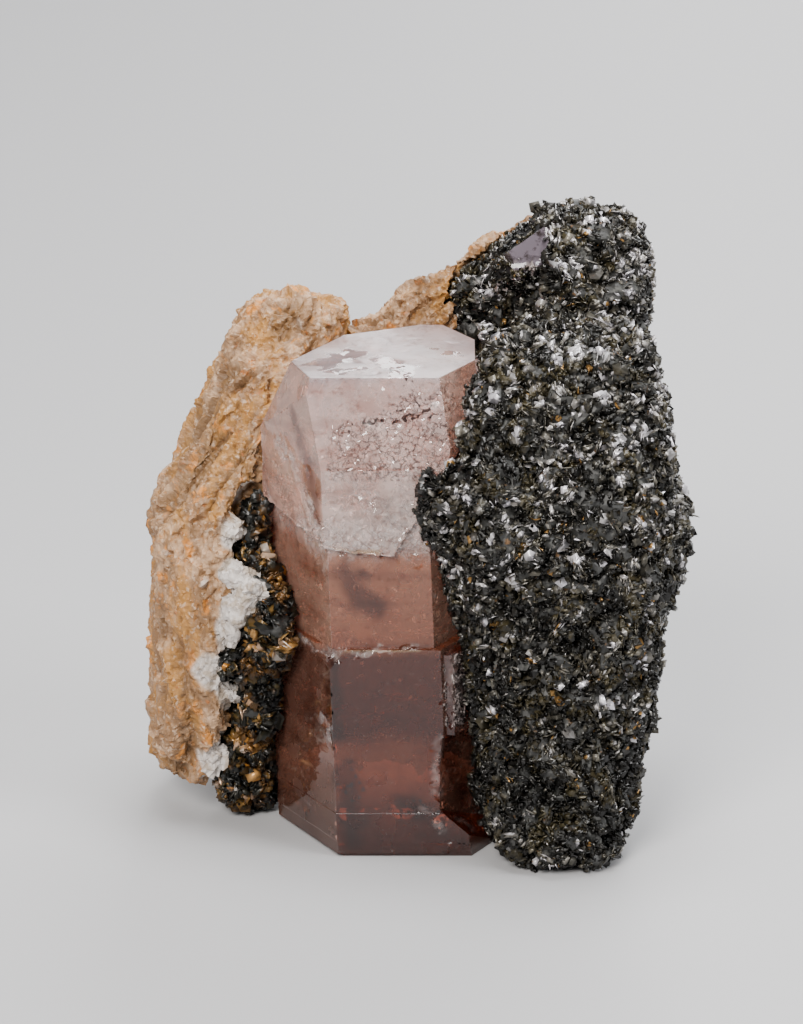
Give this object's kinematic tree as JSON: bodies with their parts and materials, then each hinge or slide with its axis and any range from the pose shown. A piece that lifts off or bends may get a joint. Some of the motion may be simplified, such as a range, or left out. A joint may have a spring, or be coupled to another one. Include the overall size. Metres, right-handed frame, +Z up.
{
  "type": "apatite crystal on matrix",
  "caption": "Stout see-through pink hexagonal apatite prism standing in its matrix of cream feldspar and dark flaky mica.",
  "frame": {"origin": "middle of the footprint's box, on the surface that the specimen stands on", "axes": "+Z up along the crystal, -Y towards the side that shows in the picture, +X towards the big mica mass"},
  "size_m": [0.0706, 0.048, 0.0797],
  "materials": {
    "apatite": "clear rose-pink crystal, bright natural faces, darker towards the foot",
    "feldspar": "rough cream feldspar with orange iron stains",
    "mica": "black to silver mica flakes, glittering",
    "rusty_mica": "black and olive mica with orange rust",
    "quartz": "glassy smoky grey"
  },
  "bodies": {
    "root": {"apatite_crystal": "apatite", "feldspar_slab": "feldspar", "mica_mass": "mica", "mica_seam": "rusty_mica", "smoky_quartz": "quartz"}
  },
  "joints": []
}
